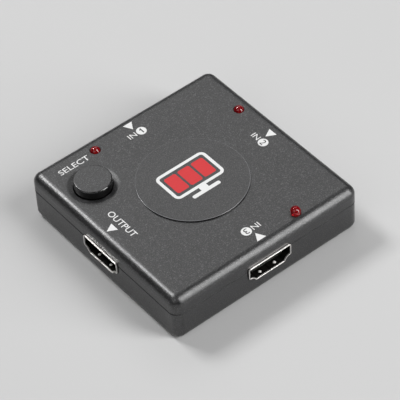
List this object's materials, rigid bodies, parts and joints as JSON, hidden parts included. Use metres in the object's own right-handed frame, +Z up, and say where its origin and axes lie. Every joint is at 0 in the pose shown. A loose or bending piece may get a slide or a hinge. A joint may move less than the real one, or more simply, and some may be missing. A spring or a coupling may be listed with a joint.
{
  "type": "video switch box",
  "caption": "Square video switch box: moulded top and bottom covers, edge sockets for inputs and an output, round push button, round LEDs and a raised round pad.",
  "frame": {"origin": "middle of the resting face, under the centre of the case", "axes": "+Z up; the output socket faces -X, input 1 +Y, input 2 +X and input 3 -Y"},
  "size_m": [0.065, 0.065, 0.0175],
  "materials": {
    "case_plastic": "fine spark-eroded texture",
    "button_plastic": "fine spark-eroded texture",
    "plated_shell": "bright nickel plating",
    "gold_contact": "thin gold plating",
    "black_moulding": "smooth moulding",
    "red_lens": "clear red epoxy",
    "board": "green solder mask",
    "chip_resin": "moulded resin",
    "ceramic": "fired ceramic",
    "tinned_steel": "tin plating",
    "screw_steel": "zinc plating"
  },
  "bodies": {
    "case": {"top_cover": "case_plastic", "bottom_cover": "case_plastic", "case_screws": "screw_steel", "circuit_board": "board", "switch_base": "black_moulding", "switch_cover": "tinned_steel", "switch_dome": "tinned_steel", "switch_terminals": "tinned_steel", "switch_chip": "chip_resin", "switch_chip_leads": "tinned_steel", "control_chip": "chip_resin", "control_chip_leads": "tinned_steel", "voltage_regulator": "chip_resin", "voltage_regulator_leads": "tinned_steel", "chip_resistors": "chip_resin", "chip_capacitors": "ceramic", "output_port_shell": "plated_shell", "output_port_insulator": "black_moulding", "output_port_contacts": "gold_contact", "input_1_port_shell": "plated_shell", "input_1_port_insulator": "black_moulding", "input_1_port_contacts": "gold_contact", "input_2_port_shell": "plated_shell", "input_2_port_insulator": "black_moulding", "input_2_port_contacts": "gold_contact", "input_3_port_shell": "plated_shell", "input_3_port_insulator": "black_moulding", "input_3_port_contacts": "gold_contact", "led_1_lens": "red_lens", "led_1_leads": "tinned_steel", "led_2_lens": "red_lens", "led_2_leads": "tinned_steel", "led_3_lens": "red_lens", "led_3_leads": "tinned_steel"},
    "select_button": {"select_button": "button_plastic"},
    "switch_plunger": {"switch_plunger": "black_moulding"}
  },
  "joints": [
    {"name": "button_press", "type": "slide", "parent": "case", "child": "select_button", "axis": [0, 0, -1], "range_m": [0, 0.0003], "stiffness_N_per_m": 5000, "deforming": ["switch_dome"]},
    {"name": "plunger_press", "type": "slide", "parent": "case", "child": "switch_plunger", "axis": [0, 0, -1], "range_m": [0, 0.0003]}
  ],
  "couplings": [
    {"joint": "plunger_press", "follows": "button_press", "ratio": 1}
  ]
}
